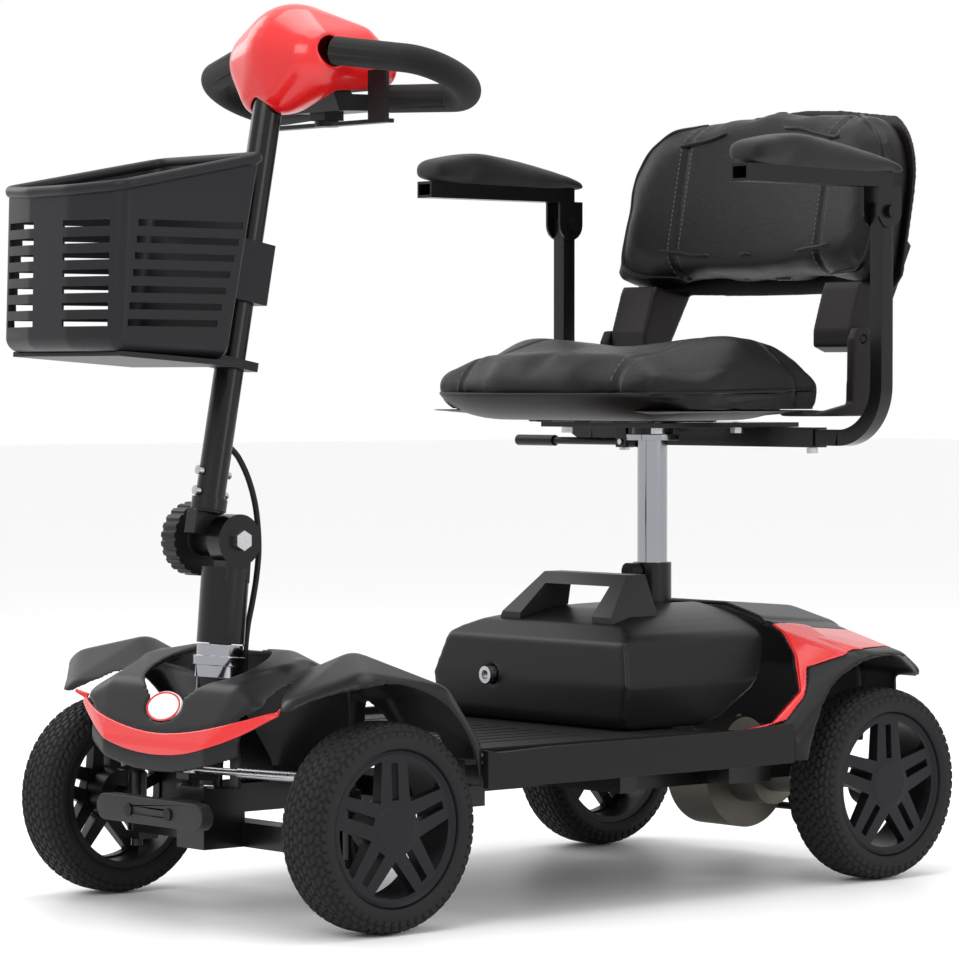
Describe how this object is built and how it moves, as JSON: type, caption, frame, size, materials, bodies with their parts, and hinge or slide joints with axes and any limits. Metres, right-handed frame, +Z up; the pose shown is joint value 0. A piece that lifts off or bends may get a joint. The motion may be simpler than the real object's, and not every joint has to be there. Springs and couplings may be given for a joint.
{
  "type": "mobility scooter",
  "caption": "Compact four-wheel electric mobility scooter with swivel seat, flip-up armrests, folding tiller with slotted basket and lift-off battery pack.",
  "frame": {"origin": "on the ground below the middle of the overall box", "axes": "+Z up, the scooter drives towards -Y, the rider's left hand is at +X"},
  "size_m": [0.548, 1.0145, 0.8917],
  "materials": {
    "frame_steel": "satin black powder coat",
    "cover_plastic": "fine textured charcoal moulding",
    "mat_rubber": "matt ribbed",
    "red_plastic": "glossy red",
    "white_plastic": "glossy white",
    "grey_plastic": "matt grey",
    "black_steel": "black oxide",
    "chrome_trim": "polished",
    "cast_housing": "rough cast",
    "black_plastic": "matt black",
    "cell_blocks": "plain",
    "zinc_steel": "bright zinc",
    "tyre_rubber": "matt with tread",
    "rim_plastic": "grey satin",
    "basket_plastic": "matt dark grey",
    "grip_foam": "dense foam",
    "yellow_plastic": "glossy yellow",
    "cable_rubber": "matt",
    "seat_plastic": "matt black",
    "seat_vinyl": "grained dark grey vinyl",
    "pad_foam": "skinned foam"
  },
  "bodies": {
    "chassis": {"front_frame": "frame_steel", "rear_frame": "frame_steel", "floor_pan": "cover_plastic", "foot_mat": "mat_rubber", "front_shroud": "cover_plastic", "nose_stripe": "red_plastic", "nose_badge": "white_plastic", "front_bumper": "grey_plastic", "bumper_screws": "black_steel", "headset_cups": "chrome_trim", "rear_shroud": "cover_plastic", "side_panel_left": "red_plastic", "side_panel_right": "red_plastic", "drive_unit": "cast_housing"},
    "anti_tip": {"anti_tip_wheels": "black_plastic"},
    "battery": {"battery_case": "cover_plastic", "battery_cells": "cell_blocks", "battery_handle": "grey_plastic", "charge_socket": "zinc_steel"},
    "steering": {"steering_stem": "frame_steel"},
    "knuckle_l": {"knuckle_left": "frame_steel"},
    "knuckle_r": {"knuckle_right": "frame_steel"},
    "rod_l": {"tie_rod_left": "zinc_steel"},
    "rod_r": {"tie_rod_right": "zinc_steel"},
    "wheel_fl": {"front_tyre_left": "tyre_rubber", "front_rim_left": "rim_plastic"},
    "wheel_fr": {"front_tyre_right": "tyre_rubber", "front_rim_right": "rim_plastic"},
    "wheel_rl": {"rear_tyre_left": "tyre_rubber", "rear_rim_left": "rim_plastic"},
    "wheel_rr": {"rear_tyre_right": "tyre_rubber", "rear_rim_right": "rim_plastic"},
    "tiller": {"tiller_tube": "frame_steel", "tiller_bolts": "zinc_steel", "basket": "basket_plastic", "basket_bracket": "black_plastic", "head_shell": "red_plastic", "head_console": "black_plastic", "handle_loops": "grip_foam", "control_cable": "cable_rubber"},
    "knob": {"tiller_knob": "black_plastic"},
    "throttle": {"throttle_lever": "black_plastic"},
    "dial": {"speed_dial": "white_plastic"},
    "key_body": {"key": "zinc_steel"},
    "horn": {"horn_button": "yellow_plastic"},
    "post": {"seat_post": "chrome_trim"},
    "pin": {"seat_pin": "black_steel"},
    "seat": {"seat_frame": "frame_steel", "seat_fasteners": "zinc_steel", "seat_shell": "seat_plastic", "seat_cushion": "seat_vinyl"},
    "lever": {"seat_lever": "black_steel"},
    "backrest": {"backrest_shell": "seat_plastic", "backrest_cushion": "seat_vinyl"},
    "arm_left": {"arm_tube_left": "frame_steel"},
    "arm_right": {"arm_tube_right": "frame_steel"},
    "pad_left": {"arm_bracket_left": "frame_steel", "arm_pad_left": "pad_foam"},
    "pad_right": {"arm_bracket_right": "frame_steel", "arm_pad_right": "pad_foam"}
  },
  "joints": [
    {"name": "steering_turn", "type": "hinge", "parent": "chassis", "child": "steering", "pos_m": [0, -0.303, 0.264], "axis": [0, 0.0872, 0.9962], "range_deg": [-32, 32]},
    {"name": "knuckle_turn_l", "type": "hinge", "parent": "chassis", "child": "knuckle_l", "pos_m": [0.1735, -0.278, 0.1], "axis": [0, 0, 1], "range_deg": [-32, 32]},
    {"name": "rod_turn_l", "type": "hinge", "parent": "steering", "child": "rod_l", "pos_m": [0, -0.33875, 0.14218], "axis": [0, 0.0872, 0.9962], "range_deg": [-32, 32]},
    {"name": "front_wheel_spin_l", "type": "hinge", "parent": "knuckle_l", "child": "wheel_fl", "pos_m": [0.2135, -0.278, 0.1], "axis": [1, 0, 0], "continuous": true},
    {"name": "rear_wheel_spin_l", "type": "hinge", "parent": "chassis", "child": "wheel_rl", "pos_m": [0.2135, 0.388, 0.1], "axis": [1, 0, 0], "continuous": true},
    {"name": "knuckle_turn_r", "type": "hinge", "parent": "chassis", "child": "knuckle_r", "pos_m": [-0.1735, -0.278, 0.1], "axis": [0, 0, 1], "range_deg": [-32, 32]},
    {"name": "rod_turn_r", "type": "hinge", "parent": "steering", "child": "rod_r", "pos_m": [0, -0.33875, 0.14218], "axis": [0, 0.0872, 0.9962], "range_deg": [-32, 32]},
    {"name": "front_wheel_spin_r", "type": "hinge", "parent": "knuckle_r", "child": "wheel_fr", "pos_m": [-0.2135, -0.278, 0.1], "axis": [1, 0, 0], "continuous": true},
    {"name": "rear_wheel_spin_r", "type": "hinge", "parent": "chassis", "child": "wheel_rr", "pos_m": [-0.2135, 0.388, 0.1], "axis": [1, 0, 0], "continuous": true},
    {"name": "anti_tip_spin", "type": "hinge", "parent": "chassis", "child": "anti_tip", "pos_m": [0, 0.455, 0.056], "axis": [1, 0, 0], "continuous": true},
    {"name": "tiller_fold", "type": "hinge", "parent": "steering", "child": "tiller", "pos_m": [0, -0.2942, 0.36462], "axis": [1, 0, 0], "range_deg": [-12, 0], "deforming": ["control_cable"]},
    {"name": "knob_turn", "type": "hinge", "parent": "tiller", "child": "knob", "pos_m": [0, -0.2942, 0.36462], "axis": [1, 0, 0], "continuous": true},
    {"name": "throttle_turn", "type": "hinge", "parent": "tiller", "child": "throttle", "pos_m": [0, -0.17, 0.772], "axis": [0, 0, 1], "range_deg": [-8, 8], "stiffness_Nm_per_rad": 0.6},
    {"name": "dial_turn", "type": "hinge", "parent": "tiller", "child": "dial", "pos_m": [0, -0.12, 0.841], "axis": [0, 0.7986, 0.6018], "range_deg": [0, 270]},
    {"name": "key_turn", "type": "hinge", "parent": "tiller", "child": "key_body", "pos_m": [-0.028, -0.12, 0.841], "axis": [0, 0.7986, 0.6018], "range_deg": [0, 90]},
    {"name": "horn_press", "type": "slide", "parent": "tiller", "child": "horn", "axis": [0, -0.7986, -0.6018], "range_m": [0, 0.0025], "stiffness_N_per_m": 300},
    {"name": "battery_lift", "type": "slide", "parent": "chassis", "child": "battery", "axis": [0, 0, 1], "range_m": [0, 0.11]},
    {"name": "post_height", "type": "slide", "parent": "chassis", "child": "post", "axis": [0, 0, 1], "range_m": [0, 0.05]},
    {"name": "pin_pull", "type": "slide", "parent": "chassis", "child": "pin", "axis": [0, -1, 0], "range_m": [0, 0.008], "stiffness_N_per_m": 500},
    {"name": "seat_swivel", "type": "hinge", "parent": "post", "child": "seat", "pos_m": [0, 0.273, 0.476], "axis": [0, 0, 1], "range_deg": [-180, 180]},
    {"name": "swivel_lever", "type": "hinge", "parent": "seat", "child": "lever", "pos_m": [-0.038, 0.273, 0.455], "axis": [0, 1, 0], "range_deg": [0, 8], "stiffness_Nm_per_rad": 1.5},
    {"name": "backrest_fold", "type": "hinge", "parent": "seat", "child": "backrest", "pos_m": [0, 0.391, 0.564], "axis": [1, 0, 0], "range_deg": [0, 75]},
    {"name": "arm_width_left", "type": "slide", "parent": "seat", "child": "arm_left", "axis": [1, 0, 0], "range_m": [0, 0.04]},
    {"name": "arm_flip_left", "type": "hinge", "parent": "arm_left", "child": "pad_left", "pos_m": [0.246, 0.367, 0.695], "axis": [1, 0, 0], "range_deg": [-95, 0]},
    {"name": "arm_width_right", "type": "slide", "parent": "seat", "child": "arm_right", "axis": [-1, 0, 0], "range_m": [0, 0.04]},
    {"name": "arm_flip_right", "type": "hinge", "parent": "arm_right", "child": "pad_right", "pos_m": [-0.246, 0.367, 0.695], "axis": [1, 0, 0], "range_deg": [-95, 0]}
  ],
  "couplings": [
    {"joint": "knuckle_turn_l", "follows": "steering_turn", "ratio": 1},
    {"joint": "knuckle_turn_r", "follows": "steering_turn", "ratio": 1},
    {"joint": "rod_turn_l", "follows": "steering_turn", "ratio": -1},
    {"joint": "rod_turn_r", "follows": "steering_turn", "ratio": -1}
  ]
}
